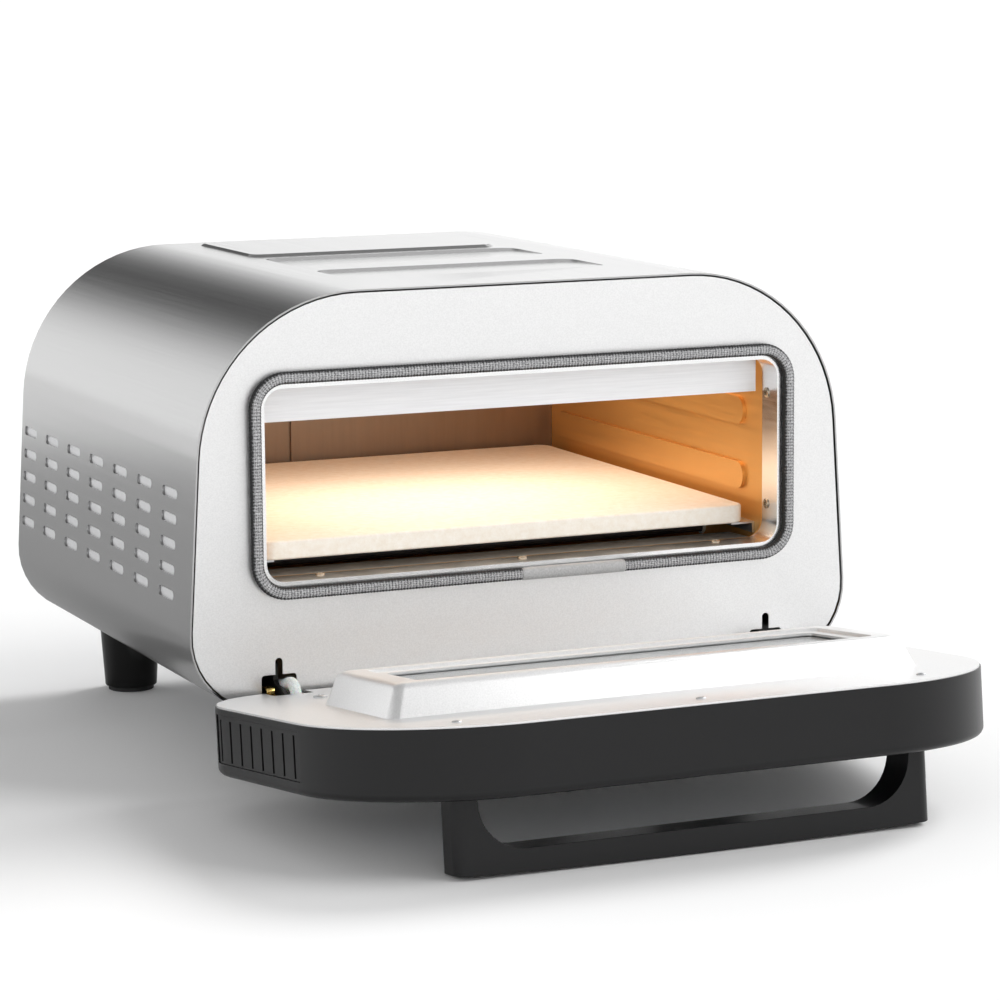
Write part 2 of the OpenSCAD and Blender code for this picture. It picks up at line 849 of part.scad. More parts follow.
module fascia_plate() {
    color([0.62, 0.62, 0.62]) door_place() difference() {
        along_y(face_y - 0.9, face_y - 0.05) window2d(140, z0 + 17, z0 + 60, 8);
        for (x = [-knob_x, knob_x]) {
            translate([x, 0, z0 + ctrl_t]) rod_y(face_y - 3, face_y + 2, 4);
        }
        translate([0, 0, z0 + ctrl_t]) rod_y(face_y - 3, face_y + 2, 7.3);
        for (x = [-28, 28]) {
            translate([x, 0, z0 + ctrl_t]) rod_y(face_y - 3, face_y + 2, 2.6);
        }
    }
}

module knob(x) {
    color([0.13, 0.13, 0.14]) door_place() translate([x, face_y - 1.3, z0 + ctrl_t]) {
        rod_y(-3, 0, knob_d / 2);
        rod_y(-knob_h, -2.99, knob_d / 2 - 3.5);
        span([-3, -knob_h - 3, -knob_d / 2 + 4], [3, -knob_h + 0.1, knob_d / 2 - 4]);
        rod_y(-0.01, 15, 2.95);
    }
}

module potentiometer(x) {
    color([0.55, 0.55, 0.56]) door_place() translate([x, 0, z0 + ctrl_t]) difference() {
        union() {
            rod_y(face_y + cover_wall + 0.1, face_y + cover_wall + 5, 5);
            rod_y(face_y + cover_wall + 4.9, face_y + cover_wall + 12.5, 9);
        }
        rod_y(face_y - 4, face_y + cover_wall + 14, 3.05);
    }
}

module start_button() {
    color([0.75, 0.75, 0.75]) door_place() translate([0, 0, z0 + ctrl_t]) {
        rod_y(face_y - 4.6, face_y + 3, 6.9);
        rod_y(face_y + 2.99, face_y + 4, 8.2);
        rod_y(face_y + 3.9, face_y + 8, 2);
    }
}

module button_switch() {
    color([0.15, 0.15, 0.16]) door_place() translate([0, 0, z0 + ctrl_t]) difference() {
        span([-7, face_y + 6.6, -7], [7, face_y + 14, 7]);
        rod_y(face_y, face_y + 10.5, 2.3);
    }
}

module control_board() {
    color([0.10, 0.35, 0.20]) door_place() {
        span([-120, face_y + 14.9, z0 + 16], [120, face_y + 16.5, z0 + 60]);
    }
}

module indicator_lenses() {
    color([0.85, 0.45, 0.15]) door_place() for (x = [-28, 28]) {
        translate([x, 0, z0 + ctrl_t]) {
            rod_y(face_y - 1.8, face_y + 4, 2.5);
        }
    }
}

module hinge_pins() {
    hinge_pin(-1);
    hinge_pin(1);
}

module hinge_carriers() {
    hinge_carrier(-1);
    hinge_carrier(1);
}

module door_controls() {
    potentiometer(-knob_x);
    potentiometer(knob_x);
    button_switch();
    control_board();
}

module glass_mounts() {
    glass_seal();
    glass_clips();
    glass_holders();
}

module all_door_screws() {
    door_screws();
    handle_screws();
}

// ---- nodes -----------------------------------------------------------------

outer_shell();
base_plate();
front_panel();
rear_panel();
rear_screws();
rear_spacer(-1);  // rear_spacer_left
rear_spacer(1);  // rear_spacer_right
vent_baffle(-1);  // vent_baffle_left
vent_baffle(1);  // vent_baffle_right
foot(-1, foot_y1);  // foot_front_left
foot(1, foot_y1);  // foot_front_right
foot(-1, foot_y2);  // foot_rear_left
foot(1, foot_y2);  // foot_rear_right
foot_pad(-1, foot_y1);  // foot_pad_front_left
foot_pad(1, foot_y1);  // foot_pad_front_right
foot_pad(-1, foot_y2);  // foot_pad_rear_left
foot_pad(1, foot_y2);  // foot_pad_rear_right
foot_screws();
throat_frame();
throat_screws();
door_seal();
seal_sleeve();
cavity_liner();
cavity_back_panel();
throat_sill();
heat_baffle();
heater(0);  // heater_upper_front
heater(1);  // heater_upper_rear
heater(2);  // heater_lower_front
heater(3);  // heater_lower_rear
heater_supports();
insulation_blanket();
stone_rail(-1);  // stone_rail_left
stone_rail(1);  // stone_rail_right
temperature_probe();
power_board();
terminal_block();
cord_gland();
hinge_bracket(-1);  // hinge_bracket_left
hinge_bracket(1);  // hinge_bracket_right
harness_body_half();
pizza_stone();
door_cover();
door_inner_panel();
all_door_screws();  // door_screws
inner_glass();
glass_mounts();  // glass_clips
outer_glass();
vent_grille(-1);  // vent_grille_left
vent_grille(1);  // vent_grille_right
handle();
fascia_plate();
hinge_pins();
hinge_carriers();
harness_door_half();
door_controls();
indicator_lenses();
start_button();
knob(-knob_x);  // temperature_knob
knob(knob_x);  // timer_knob
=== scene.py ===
"""Looks of the countertop pizza oven: studio, camera, materials and pieces with mesh work."""
import json
import math

import bpy
from mathutils import Matrix, Vector


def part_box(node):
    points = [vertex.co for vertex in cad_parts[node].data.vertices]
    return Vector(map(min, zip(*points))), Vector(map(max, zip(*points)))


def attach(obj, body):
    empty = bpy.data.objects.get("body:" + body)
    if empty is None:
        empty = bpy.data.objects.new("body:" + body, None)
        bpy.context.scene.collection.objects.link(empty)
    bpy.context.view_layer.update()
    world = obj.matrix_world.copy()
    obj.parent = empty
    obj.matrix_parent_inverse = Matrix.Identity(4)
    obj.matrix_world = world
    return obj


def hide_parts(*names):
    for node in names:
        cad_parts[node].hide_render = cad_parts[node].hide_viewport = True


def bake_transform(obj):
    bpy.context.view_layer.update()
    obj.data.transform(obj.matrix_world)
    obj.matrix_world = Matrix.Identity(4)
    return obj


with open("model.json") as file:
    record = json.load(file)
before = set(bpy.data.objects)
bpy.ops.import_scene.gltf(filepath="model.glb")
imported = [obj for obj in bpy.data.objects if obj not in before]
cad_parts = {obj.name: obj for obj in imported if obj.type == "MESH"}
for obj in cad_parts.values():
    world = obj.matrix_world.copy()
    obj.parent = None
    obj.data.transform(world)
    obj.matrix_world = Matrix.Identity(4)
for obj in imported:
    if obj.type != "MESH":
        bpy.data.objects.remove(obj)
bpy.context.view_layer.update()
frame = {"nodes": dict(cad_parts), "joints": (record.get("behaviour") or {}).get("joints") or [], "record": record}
NODES = frame["nodes"]

# ---- places taken from the frame ------------------------------------------
FRONT_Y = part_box("front_panel")[0].y
BOTTOM_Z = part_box("outer_shell")[0].z
HINGE = next(j for j in frame["joints"] if j["name"] == "door_hinge")
DOOR_OPEN = math.radians(HINGE["range_deg"][1])


def mm(value):
    """Millimetres to metres."""
    return value / 1000


# ---- camera and studio -------------------------------------------------------
CAMERA_POS = Vector((-0.9469, FRONT_Y - 2.1158, 0.5448))
CAMERA_AZIMUTH = math.radians(-23.65)
CAMERA_TILT = math.radians(8.96)
CAMERA_ROLL = math.radians(-0.45)
CAMERA_LENS = 129.01

# Two soft suns from the right: place, strength and spread.
SUNS = (
    ("sun_rear", Vector((0.70, 0.26, 0.66)), 1.5, math.radians(24)),
    ("sun_front", Vector((0.66, -0.42, 0.62)), 1.2, math.radians(34)),
)
# The lamp under the cavity's ceiling: watts, colour, length and width.
GLOW_POWER = 0.45
GLOW_COLOUR = (1, 0.90, 0.76)
GLOW_SIZE = (0.30, 0.17)

# Direction of the dark patch of the studio, and its levels outward and up to the ceiling.
DARK_PATCH = (0.08, 0.94, 0.335)
PATCH_LEVELS = [(0.0, 0.05), (0.09, 0.11), (0.18, 0.34), (0.27, 0.72), (0.36, 0.95), (0.5, 1.0)]
CEILING_LEVELS = [(0.0, 1.0), (0.48, 1.0), (0.62, 0.30), (1.0, 0.24)]
STUDIO_LEVEL = 1.3
FLOOR_GREY = 0.92
# Painted shade: a grey card standing in for the floor shadow behind the left side, seen only in reflections; its
# grey, place, size and turn.
SHADE_CARD_GREY = 0.36
SHADE_CARD_PLACE = (-0.75, 1.05, 0.001)
SHADE_CARD_SIZE = (1.7, 1.9, 1)
SHADE_CARD_TURN = math.radians(12)


def make_camera():
    ca, sa = math.cos(CAMERA_AZIMUTH), math.sin(CAMERA_AZIMUTH)
    ce, se = math.cos(CAMERA_TILT), math.sin(CAMERA_TILT)
    forward = Vector((-sa * ce, ca * ce, -se))
    right = Vector((ca, sa, 0))
    up = right.cross(forward)
    cr, sr = math.cos(CAMERA_ROLL), math.sin(CAMERA_ROLL)
    right, up = cr * right + sr * up, cr * up - sr * right
    data = bpy.data.cameras.new("camera")
    data.lens = CAMERA_LENS
    data.sensor_width = 36
    data.clip_start, data.clip_end = 0.05, 200
    camera = bpy.data.objects.new("camera", data)
    bpy.context.scene.collection.objects.link(camera)
    turn = Matrix((right, up, -forward)).transposed().to_4x4()
    camera.matrix_world = Matrix.Translation(CAMERA_POS) @ turn
    bpy.context.scene.camera = camera


def add_lamp(kind, name, place, target, strength, colour=(1, 1, 1)):
    data = bpy.data.lights.new(name, kind)
    data.energy = strength
    data.color = colour
    lamp = bpy.data.objects.new(name, data)
    bpy.context.scene.collection.objects.link(lamp)
    lamp.location = place
    lamp.rotation_euler = (Vector(target) - Vector(place)).to_track_quat("-Z", "Y").to_euler()
    lamp.visible_camera = False
    return lamp


def make_lights():
    for name, place, strength, spread in SUNS:
        sun = add_lamp("SUN", name, place * 3, (0, 0, 0), strength)
        sun.data.angle = spread
    place, target = body_pt(0, 150, 221), body_pt(0, 150, 100)
    glow = add_lamp("AREA", "cavity_glow", place, target, GLOW_POWER, GLOW_COLOUR)
    glow.data.shape = "RECTANGLE"
    glow.data.size, glow.data.size_y = GLOW_SIZE


def ramp_node(nodes, stops):
    ramp = nodes.new("ShaderNodeValToRGB")
    elements = ramp.color_ramp.elements
    while len(elements) < len(stops):
        elements.new(0.5)
    for element, (place, level) in zip(elements, stops):
        element.position = place
        element.color = (level, level, level, 1) if isinstance(level, float) else (*level, 1)
    return ramp


def make_world():
    """A bright studio with a dark patch behind the oven and a dimmer ceiling."""
    world = bpy.data.worlds.new("studio")
    bpy.context.scene.world = world
    world.use_nodes = True
    nodes, links = world.node_tree.nodes, world.node_tree.links
    nodes.clear()
    coord = nodes.new("ShaderNodeTexCoord")
    split = nodes.new("ShaderNodeSeparateXYZ")
    far = nodes.new("ShaderNodeVectorMath")
    far.operation = "DISTANCE"
    far.inputs[1].default_value = DARK_PATCH
    patch = ramp_node(nodes, PATCH_LEVELS)
    ceiling = ramp_node(nodes, CEILING_LEVELS)
    both = nodes.new("ShaderNodeMix")
    both.data_type = "RGBA"
    both.blend_type = "MULTIPLY"
    both.inputs["Factor"].default_value = 1.0
    back = nodes.new("ShaderNodeBackground")
    out = nodes.new("ShaderNodeOutputWorld")
    links.new(coord.outputs["Generated"], split.inputs[0])
    links.new(coord.outputs["Generated"], far.inputs[0])
    links.new(far.outputs["Value"], patch.inputs[0])
    links.new(split.outputs["Z"], ceiling.inputs[0])
    links.new(patch.outputs[0], both.inputs[6])
    links.new(ceiling.outputs[0], both.inputs[7])
    links.new(both.outputs[2], back.inputs["Color"])
    back.inputs["Strength"].default_value = STUDIO_LEVEL
    links.new(back.outputs[0], out.inputs[0])


def make_floor(material):
    bpy.ops.mesh.primitive_plane_add(size=120, location=(0, 0, 0))
    floor = bpy.context.object
    floor.name = "floor"
    floor.data.materials.append(material)


def make_shade_card():
    """Grey card on the floor behind the left side, standing in for the shadow there: painted shade that only
    mirror images see.
    """
    bpy.ops.mesh.primitive_plane_add(size=1, location=SHADE_CARD_PLACE)
    card = bpy.context.object
    card.name = "painted_shade_card"
    card.scale = SHADE_CARD_SIZE
    card.rotation_euler.z = SHADE_CARD_TURN
    card.data.materials.append(shader("shade_card_grey", (SHADE_CARD_GREY,) * 3, 1.0))
    card.visible_camera = False
    card.visible_diffuse = False
    card.visible_shadow = False
    card.visible_transmission = False


# ---- places on the oven ----------------------------------------------------
HINGE_FWD = mm(13.2)
HINGE_UP = mm(7.7)
DOOR_GAP = 8
DOOR_TURN = Matrix.Rotation(DOOR_OPEN, 4, "X")


def body_pt(x, y, z):
    """Millimetres right, behind the front panel and above the cabinet bottom, to the frame."""
    return Vector((mm(x), FRONT_Y + mm(y), BOTTOM_Z + mm(z)))


def door_pt(x, w, t):
    """Millimetres right, outward from the door's inner face and up the closed door, at rest."""
    closed = Vector((mm(x), mm(-DOOR_GAP - w) + HINGE_FWD, mm(t) - HINGE_UP))
    return Vector((0, FRONT_Y - HINGE_FWD, BOTTOM_Z + HINGE_UP)) + DOOR_TURN @ closed


# ---- materials -------------------------------------------------------------
def shader(name, colour, rough, metal=0.0, **sockets):
    material = bpy.data.materials.new(name)
    material.use_nodes = True
    bsdf = material.node_tree.nodes["Principled BSDF"]
    bsdf.inputs["Base Color"].default_value = (*colour, 1)
    bsdf.inputs["Roughness"].default_value = rough
    bsdf.inputs["Metallic"].default_value = metal
    for socket, value in sockets.items():
        bsdf.inputs[socket.replace("_", " ")].default_value = value
    return material


def noise_of(material, scale, detail=4.0, rough=0.55):
    """Noise in object space, stretched by the three scales."""
    nodes, links = material.node_tree.nodes, material.node_tree.links
    coord = nodes.new("ShaderNodeTexCoord")
    mapping = nodes.new("ShaderNodeMapping")
    noise = nodes.new("ShaderNodeTexNoise")
    mapping.inputs["Scale"].default_value = scale
    noise.inputs["Scale"].default_value = 1.0
    noise.inputs["Detail"].default_value = detail
    noise.inputs["Roughness"].default_value = rough
    links.new(coord.outputs["Object"], mapping.inputs[0])
    links.new(mapping.outputs[0], noise.inputs["Vector"])
    return noise.outputs["Fac"]


def vary(material, socket, source, low, high):
    """Drives a value socket between two values."""
    nodes, links = material.node_tree.nodes, material.node_tree.links
    spread = nodes.new("ShaderNodeMapRange")
    spread.inputs["From Min"].default_value = 0.3
    spread.inputs["From Max"].default_value = 0.7
    spread.inputs["To Min"].default_value = low
    spread.inputs["To Max"].default_value = high
    links.new(source, spread.inputs["Value"])
    links.new(spread.outputs[0], nodes["Principled BSDF"].inputs[socket])


def tint(material, source, dark, light, low=0.3, high=0.7):
    """Drives the base colour between two colours."""
    nodes, links = material.node_tree.nodes, material.node_tree.links
    ramp = ramp_node(nodes, [(low, tuple(dark)), (high, tuple(light))])
    links.new(source, ramp.inputs[0])
    links.new(ramp.outputs[0], nodes["Principled BSDF"].inputs["Base Color"])


def bump(material, source, strength, distance):
    nodes, links = material.node_tree.nodes, material.node_tree.links
    node = nodes.new("ShaderNodeBump")
    node.inputs["Strength"].default_value = strength
    node.inputs["Distance"].default_value = distance
    links.new(source, node.inputs["Height"])
    links.new(node.outputs[0], nodes["Principled BSDF"].inputs["Normal"])


def shade(colour, factor):
    return tuple(min(1.0, c * factor) for c in colour)


def brushed(name, colour, rough, scale, depth=0.00002, metal=1.0, contrast=0.05):
    material = shader(name, colour, rough, metal)
    lines = noise_of(material, scale)
    vary(material, "Roughness", lines, rough * 0.85, rough * 1.15)
    tint(material, lines, shade(colour, 1 - contrast), shade(colour, 1 + contrast))
    bump(material, lines, 0.15, depth)
    return material


def blasted(name, colour, rough, metal=1.0):
    material = shader(name, colour, rough, metal)
    grain = noise_of(material, (1100, 1100, 1100), 3.0)
    vary(material, "Roughness", grain, rough * 0.85, rough * 1.15)
    tint(material, grain, shade(colour, 0.93), shade(colour, 1.05))
    bump(material, grain, 0.22, 0.00004)
    return material


def plastic(name, colour, rough, grain_scale=1500, **sockets):
    material = shader(name, colour, rough, **sockets)
    grain = noise_of(material, (grain_scale,) * 3, 2.0)
    tint(material, grain, shade(colour, 0.85), shade(colour, 1.15))
    bump(material, grain, 0.12, 0.00003)
    vary(material, "Roughness", grain, rough * 0.9, rough * 1.1)
    return material


def make_stone():
    stone = shader("stone", (0.85, 0.78, 0.66), 0.85)
    grain = noise_of(stone, (180, 180, 180), 7.0, 0.72)
    tint(stone, grain, (0.88, 0.81, 0.70), (0.96, 0.92, 0.84), 0.35, 0.65)
    bump(stone, noise_of(stone, (900, 900, 900), 3.0), 0.35, 0.0002)
    return stone


def make_braid():
    """Glass-fibre braid, speckled along the strands, with painted shade: light crowns, dark grooves, and dark
    flanks as a painted shadow line along the rope.
    """
    braid = shader("seal_braid", (0.3, 0.3, 0.3), 0.8)
    nodes, links = braid.node_tree.nodes, braid.node_tree.links
    fleck = noise_of(braid, (1100, 1100, 1100), 5.0, 0.75)
    braid_shade = nodes.new("ShaderNodeAttribute")
    braid_shade.attribute_name = "braid_shade"
    blend = nodes.new("ShaderNodeMath")
    blend.operation = "MULTIPLY_ADD"
    blend.inputs[1].default_value = 0.32
    links.new(braid_shade.outputs["Fac"], blend.inputs[0])
    links.new(fleck, blend.inputs[2])
    # Base colour from the painted shade of the weave and flanks, plus the specks.
    tint(braid, blend.outputs[0], (0.012, 0.012, 0.013), (0.62, 0.62, 0.63), 0.47, 0.84)
    bump(braid, fleck, 0.5, 0.0003)
    return braid


def make_materials():
    return {
        "brushed_wrap": brushed("brushed_wrap", (0.46, 0.46, 0.46), 0.19, (1800, 5, 1800),
                                depth=0.00001, contrast=0.03),
        "blasted_steel": blasted("blasted_steel", (0.78, 0.78, 0.78), 0.42),
        "inner_sheet": blasted("inner_sheet", (0.76, 0.76, 0.76), 0.38, 0.7),
        "zinc_steel": brushed("zinc_steel", (0.55, 0.56, 0.57), 0.42, (300, 300, 300)),
        "pale_sheet": brushed("pale_sheet", (0.88, 0.88, 0.89), 0.42, (20, 700, 700), metal=0.35),
        "vent_sheet": brushed("vent_sheet", (0.68, 0.68, 0.69), 0.42, (20, 700, 700), metal=0.35),
        "throat_steel": brushed("throat_steel", (0.86, 0.86, 0.86), 0.22, (30, 30, 500)),
        "black_plastic": plastic("black_plastic", (0.004, 0.004, 0.0045), 0.36,
                                 Specular_IOR_Level=0.3),
        "foot_plastic": plastic("foot_plastic", (0.004, 0.004, 0.004), 0.16),
        "pad_rubber": plastic("pad_rubber", (0.02, 0.02, 0.02), 0.75),
        "heated_steel": brushed("heated_steel", (0.78, 0.43, 0.135), 0.36, (400, 14, 400),
                                metal=0.7, contrast=0.02),
        "back_steel": brushed("back_steel", (0.23, 0.165, 0.12), 0.40, (300, 300, 14), metal=0.75),
        "sill_steel": brushed("sill_steel", (0.66, 0.62, 0.57), 0.40, (14, 300, 300), metal=0.6),
        "heater_sheath": plastic("heater_sheath", (0.05, 0.045, 0.04), 0.5),
        "ceramic_white": plastic("ceramic_white", (0.80, 0.77, 0.70), 0.6),
        "blanket": plastic("blanket", (0.75, 0.72, 0.62), 0.95, 300),
        "board_green": plastic("board_green", (0.03, 0.16, 0.07), 0.45),
        "black_steel": plastic("black_steel", (0.015, 0.015, 0.015), 0.35),
        "brass": brushed("brass", (0.86, 0.62, 0.22), 0.25, (600, 600, 600)),
        "screw_steel": brushed("screw_steel", (0.42, 0.36, 0.28), 0.25, (500, 500, 500)),
        "lens_amber": plastic("lens_amber", (0.9, 0.35, 0.05), 0.15),
        "knob_plastic": plastic("knob_plastic", (0.03, 0.03, 0.032), 0.38),
        "button_metal": brushed("button_metal", (0.75, 0.75, 0.75), 0.3, (600, 600, 600)),
        "sleeve_grey": plastic("sleeve_grey", (0.42, 0.42, 0.42), 0.45, 900),
        "sleeve_white": plastic("sleeve_white", (0.82, 0.81, 0.79), 0.3, 900,
                                Subsurface_Weight=0.3),
        "stone": make_stone(),
        "seal_braid": make_braid(),
        "glass_inner": shader("glass_inner", (0.75, 0.80, 0.80), 0.03, Transmission_Weight=1.0),
        "glass_outer": shader("glass_outer", (0.10, 0.11, 0.12), 0.05, Transmission_Weight=1.0),
    }


# A few nodes look different from the others of their material slot.
OWN_LOOK = {
    "cavity_back_panel": "back_steel",
    "throat_sill": "sill_steel",
    "throat_frame": "throat_steel",
    "door_inner_panel": "inner_sheet",
    "vent_baffle_left": "vent_sheet",
    "vent_baffle_right": "vent_sheet",
}

# Edge rounding, in millimetres; every other node keeps its edges crisp.
ROUNDING = {
    "handle": 2.2,
    "pizza_stone": 1.6,
    "door_cover": 0.7,
    "fascia_plate": 0.3,
    "temperature_knob": 0.8,
    "timer_knob": 0.8,
    "start_button": 0.5,
    "foot_front_left": 1.2,
    "foot_front_right": 1.2,
    "foot_rear_left": 1.2,
    "foot_rear_right": 1.2,
    "rear_spacer_left": 0.8,
    "rear_spacer_right": 0.8,
    "throat_frame": 0.5,
    "outer_shell": 0.25,
    "front_panel": 0.25,
    "cord_gland": 0.6,
}


def add_modifier(piece, kind, **settings):
    modifier = piece.modifiers.new(kind.lower(), kind)
    for key, value in settings.items():
        setattr(modifier, key, value)
    return modifier


# Shaded flat: its faces are too long and thin for smooth shading.
FLAT = {"heat_baffle"}
CRISP = math.radians(28)
BEVEL_FROM = math.radians(30)


def dress_cad(looks):
    """Gives every CAD node its finish, and smooth shading with crisp or rounded edges."""
    slots = {s["node"]: s["material_slot"] for s in frame["record"]["subparts"]}
    for name, piece in NODES.items():
        piece.data.materials.clear()
        piece.data.materials.append(looks[OWN_LOOK.get(name, slots[name])])
        for polygon in piece.data.polygons:
            polygon.use_smooth = name not in FLAT
        add_modifier(piece, "WELD", merge_threshold=0.00001)
        if name in ROUNDING:
            add_modifier(piece, "DECIMATE", decimate_type="DISSOLVE", angle_limit=math.radians(0.4))
            add_modifier(piece, "BEVEL", width=mm(ROUNDING[name]), segments=3,
                         limit_method="ANGLE", angle_limit=BEVEL_FROM, use_clamp_overlap=True)
            add_modifier(piece, "WEIGHTED_NORMAL", keep_sharp=True)
        else:
            add_modifier(piece, "EDGE_SPLIT", split_angle=CRISP)


# ---- mesh pieces -------------------------------------------------------------
def new_piece(name, verts, faces, material):
    mesh = bpy.data.meshes.new(name)
    mesh.from_pydata([tuple(v) for v in verts], [], faces)
    for polygon in mesh.polygons:
        polygon.use_smooth = True
    mesh.materials.append(material)
    piece = bpy.data.objects.new(name, mesh)
    bpy.context.scene.collection.objects.link(piece)
    return piece


def rings_to_mesh(rings, closed=False):
    """Joins rings of points into a tube; open tubes get end faces."""
    count = len(rings[0])
    verts = [p for ring in rings for p in ring]
    faces = []
    last = len(rings) if closed else len(rings) - 1
    for i in range(last):
        a, b = i * count, ((i + 1) % len(rings)) * count
        for j in range(count):
            k = (j + 1) % count
            faces.append((a + j, a + k, b + k, b + j))
    if not closed:
        faces.append(tuple(reversed(range(count))))
        faces.append(tuple(range((len(rings) - 1) * count, len(rings) * count)))
    return verts, faces


def resample(points, step):
    """Points at an even distance along a polyline, with their run length."""
    lengths = [0.0]
    for a, b in zip(points, points[1:]):
        lengths.append(lengths[-1] + (b - a).length)
    count = max(2, round(lengths[-1] / step))
    out, k = [], 0
    for i in range(count + 1):
        run = lengths[-1] * i / count
        while k < len(points) - 2 and lengths[k + 1] < run:
            k += 1
        part = (run - lengths[k]) / max(1e-12, lengths[k + 1] - lengths[k])
        out.append((points[k].lerp(points[k + 1], part), run))
    return out


def heading(path, i):
    """Unit direction of a resampled path at its point i."""
    before = path[max(0, i - 1)][0]
    after = path[min(len(path) - 1, i + 1)][0]
    return (after - before).normalized()


def loop_path(half, low, high, radius, x_start, x_end):
    """Rounded rectangle in X and Z, from x_start on the lower side round to x_end."""
    points = [Vector((x_start, 0, low))]
    corners = [(half, low, -90), (half, high, 0), (-half, high, 90), (-half, low, 180)]
    for cx, cz, start in corners:
        mx = cx - math.copysign(radius, cx)
        mz = cz + radius if cz == low else cz - radius
        for i in range(17):
            a = math.radians(start + 90 * i / 16)
            points.append(Vector((mx + radius * math.cos(a), 0, mz + radius * math.sin(a))))
    points.append(Vector((x_end, 0, low)))
    return points


# The seal's centre before the front panel, its half width and half height, in millimetres.
SEAL_Y = -3.85
SEAL_WIDE, SEAL_TALL = 4.1, 3.65
SEAL_AROUND = 48
STRANDS = 20
SEAL_PITCH = 4.2


def seal_section(angle, grow=0.0):
    """Flattened round section of the seal: across the loop, and away from the panel."""
    c, s = math.cos(angle), math.sin(angle)
    power = 0.88
    across = math.copysign(abs(c) ** power, c)
    out = math.copysign(abs(s) ** power, s)
    return (SEAL_WIDE + grow) * across, (SEAL_TALL + grow) * out


def make_seal(looks):
    """Braided rope round the throat, with a smooth sleeve over its joint."""
    path = resample(loop_path(190.1, 75.4, 213.6, 20.0, 64.0, -4.0), 0.5)
    rings, braid_shade = [], []
    for i, (centre, run) in enumerate(path):
        ahead = heading(path, i)
        side = Vector((ahead.z, 0, -ahead.x))
        ring = []
        for j in range(SEAL_AROUND):
            angle = 2 * math.pi * j / SEAL_AROUND
            a = STRANDS / 2 * angle + 2 * math.pi * run / SEAL_PITCH
            b = STRANDS / 2 * angle - 2 * math.pi * run / SEAL_PITCH
            weave = math.sin(a) * math.sin(b)
            across, out = seal_section(angle, 0.24 * weave - 0.24)
            # Painted shade: dark in the weave's grooves and on both flanks of the rope, a painted shadow line
            # where it sits on the panel.
            braid_shade.append(0.5 + 0.5 * weave - 1.3 * max(0.0, abs(across) / SEAL_WIDE - 0.5) / 0.5)
            p = centre + side * across
            ring.append(body_pt(p.x, SEAL_Y - out, p.z))
        rings.append(ring)
    verts, faces = rings_to_mesh(rings)
    rope = new_piece("seal_rope", verts, faces, looks["seal_braid"])
    rope.data.attributes.new("braid_shade", "FLOAT", "POINT").data.foreach_set("value", braid_shade)
    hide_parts("door_seal")
    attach(rope, "oven_body")

    rings = []
    ends = [(-7.4, -1.2), (-7.2, -0.3), (-6.6, 0.0), (-5.0, 0.05)]
    stations = ends + [(30, 0.05)] + [(60.1 - x, g) for x, g in reversed(ends)]
    for x, grow in stations:
        ring = []
        for j in range(SEAL_AROUND):
            across, out = seal_section(2 * math.pi * j / SEAL_AROUND, grow)
            ring.append(body_pt(x, SEAL_Y - 0.05 - out, 75.2 + across))
        rings.append(ring)
    verts, faces = rings_to_mesh(rings)
    sleeve = new_piece("seal_joint_sleeve", verts, faces, looks["sleeve_grey"])
    add_modifier(sleeve, "WEIGHTED_NORMAL")
    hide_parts("seal_sleeve")
    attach(sleeve, "oven_body")


HARNESS_X = -170.3
HARNESS_PITCH = 7.0


def make_harness(looks):
    """Braided white sleeve with the door's wires, from the body slot down into the door's notch."""
    knots = [(40, 11.5), (28, 12.0), (18, 12.6), (9, 13.6), (2, 15.2), (-4, 17.4),
             (-9.6, 17.9), (-14.2, 15.8), (-16.8, 11.0), (-17.7, 4.0), (-17.9, -5.0)]
    fine = []
    for i in range(len(knots) - 1):
        p = [Vector(knots[max(0, min(len(knots) - 1, i + k))]) for k in (-1, 0, 1, 2)]
        for s in range(12):
            t = s / 12
            square = 2 * p[0] - 5 * p[1] + 4 * p[2] - p[3]
            cube = 3 * p[1] - p[0] - 3 * p[2] + p[3]
            q = 0.5 * (2 * p[1] + (p[2] - p[0]) * t + square * t * t + cube * t ** 3)
            fine.append(Vector((q.x, q.y)))
    fine.append(Vector(knots[-1]))
    path = resample(fine, 0.22)
    around = 32
    rings = []
    for i, (centre, run) in enumerate(path):
        ahead = heading(path, i)
        up = Vector((-ahead.y, ahead.x))
        ring = []
        for j in range(around):
            angle = 2 * math.pi * j / around
            a = 5 * angle + 2 * math.pi * run / HARNESS_PITCH
            b = 5 * angle - 2 * math.pi * run / HARNESS_PITCH
            radius = 3.7 + 0.3 * math.sin(a) * math.sin(b)
            p = centre + up * radius * math.cos(angle)
            ring.append(body_pt(HARNESS_X + radius * math.sin(angle), p.x, p.y))
        rings.append(ring)
    verts, faces = rings_to_mesh(rings)
    sleeve = new_piece("harness_sleeve", verts, faces, looks["sleeve_white"])
    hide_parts("harness_body_half", "harness_door_half")
    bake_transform(sleeve)


def make_lugs(looks):
    """Yellow-zinc lugs beside the hinge arms, at the outer end of the body slots."""
    outline = [(-3.4, 8.4), (-3.4, 13.2), (-2.2, 14.6), (6.0, 14.6),
               (6.0, 13.0), (-1.4, 13.0), (-1.8, 12.4), (-1.8, 8.4)]
    for side, name in ((-1, "hinge_lug_left"), (1, "hinge_lug_right")):
        rings = []
        for x in (179.6, 180.0, 184.6, 185.0):
            inset = 0.2 if x in (179.6, 185.0) else 0.0
            rings.append([body_pt(side * x, y, z - inset) for y, z in outline])
        verts, faces = rings_to_mesh(rings)
        lug = new_piece(name, verts, faces, looks["brass"])
        add_modifier(lug, "BEVEL", width=mm(0.25), segments=2, limit_method="ANGLE",
                     angle_limit=BEVEL_FROM)
        add_modifier(lug, "EDGE_SPLIT", split_angle=math.radians(35))
        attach(lug, "oven_body")


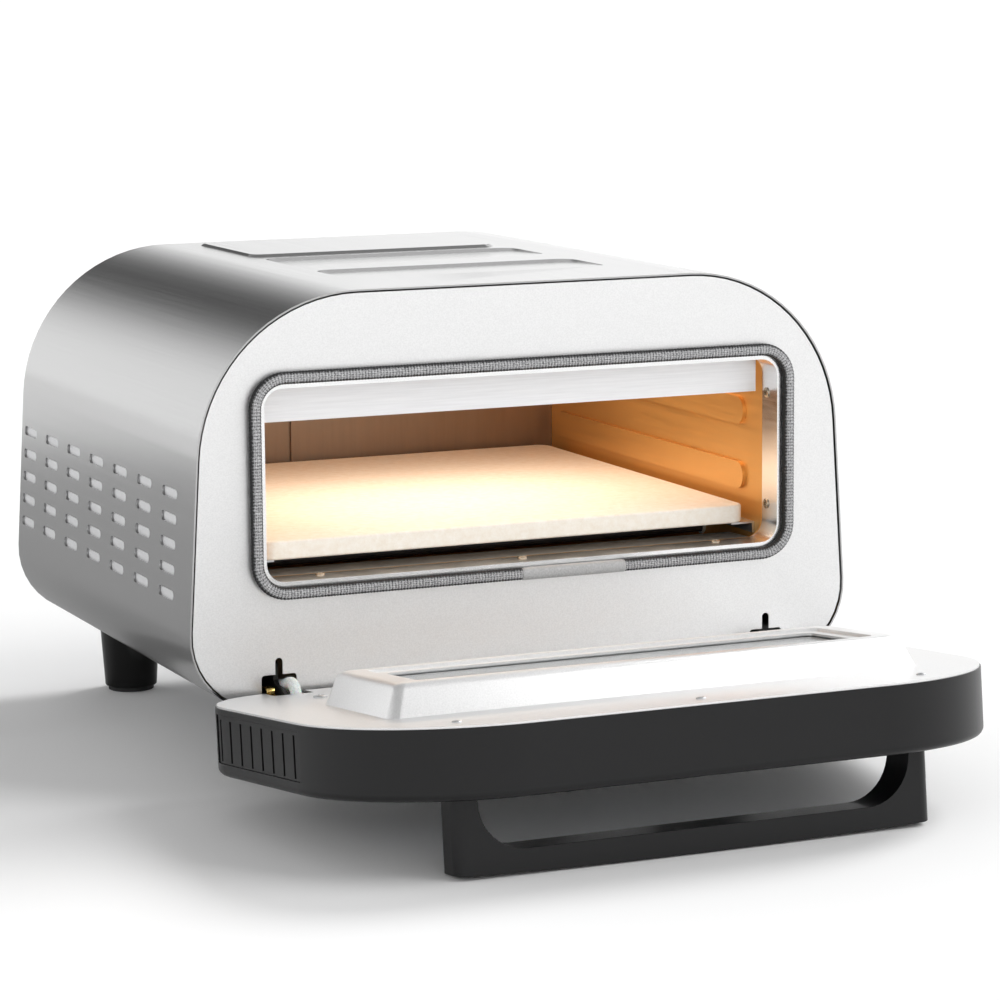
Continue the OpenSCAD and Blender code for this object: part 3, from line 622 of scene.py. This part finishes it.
def screw_mesh(place, axis, radius, head, length):
    """Pan head with a cross recess on a shank; axis points out of the head."""
    axis = axis.normalized()
    side = axis.orthogonal().normalized()
    up = axis.cross(side)
    verts, faces = [], []
    around, rings = 48, 14

    def add_ring(r, height):
        start = len(verts)
        for j in range(around):
            a = 2 * math.pi * j / around
            h = height
            if height > 0:
                u, v = abs(r * math.cos(a)), abs(r * math.sin(a))
                if min(u, v) < radius * 0.17 and max(u, v) < radius * 0.62:
                    h = height - head * 0.75
            verts.append(place + side * r * math.cos(a) + up * r * math.sin(a) + axis * h)
        return start

    starts = []
    for i in range(rings):
        r = radius * (i + 0.4) / (rings - 0.6)
        dome = math.sqrt(max(0.0, 1 - (r / radius) ** 2.2))
        starts.append(add_ring(r, head * (0.45 + 0.55 * dome)))
    starts.append(add_ring(radius, 0))
    starts.append(add_ring(radius * 0.5, 0))
    starts.append(add_ring(radius * 0.5, -length))
    for a, b in zip(starts, starts[1:]):
        for j in range(around):
            k = (j + 1) % around
            faces.append((a + j, b + j, b + k, a + k))
    faces.append(tuple(starts[0] + j for j in range(around)))
    faces.append(tuple(reversed([starts[-1] + j for j in range(around)])))
    return verts, faces


def screw_set(name, screws, material, body, node):
    verts, faces = [], []
    for screw in screws:
        v, f = screw_mesh(*screw)
        faces += [tuple(i + len(verts) for i in face) for face in f]
        verts += v
    piece = new_piece(name, verts, faces, material)
    add_modifier(piece, "EDGE_SPLIT", split_angle=math.radians(35))
    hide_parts(node)
    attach(piece, body)


def make_screws(looks):
    steel = looks["screw_steel"]
    places = []
    for x in (-141, 2, 145):
        places.append((body_pt(x, 15, 82.5), Vector((0, 0, 1))))
    for x in (-125, -6, 115):
        places.append((body_pt(x, 9, 206.7), Vector((0, 0, -1))))
    for z in (106, 182):
        places.append((body_pt(183, 13.5, z), Vector((-1, 0, 0))))
        places.append((body_pt(-183, 13.5, z), Vector((1, 0, 0))))
    screws = [(p, a, mm(3.4), mm(1.2), mm(3.8)) for p, a in places]
    screw_set("throat_frame_screws", screws, steel, "oven_body", "throat_screws")
    out = door_pt(0, -1, 0) - door_pt(0, 0, 0)
    edge = ((-168, 49, 4.4), (168, 49, 4.4), (-155, 239, 3.0), (155, 239, 3.0), (0, 246, 3.0))
    screws = []
    for x, t, radius in edge:
        screws.append((door_pt(x, 0, t), out, mm(radius), mm(radius * 0.42), mm(15)))
    for x in (-148, 148):
        screws.append((door_pt(x, 41.7, 224.5), out, mm(4.8), mm(3.0), mm(16)))
    screw_set("door_panel_screws", screws, looks["zinc_steel"], "door", "door_screws")


LOOKS = make_materials()
make_camera()
make_world()
make_lights()
bpy.context.scene.view_settings.view_transform = "Standard"
make_floor(shader("floor_paint", (FLOOR_GREY,) * 3, 1.0))
make_shade_card()
dress_cad(LOOKS)
make_seal(LOOKS)
make_harness(LOOKS)
make_lugs(LOOKS)
make_screws(LOOKS)
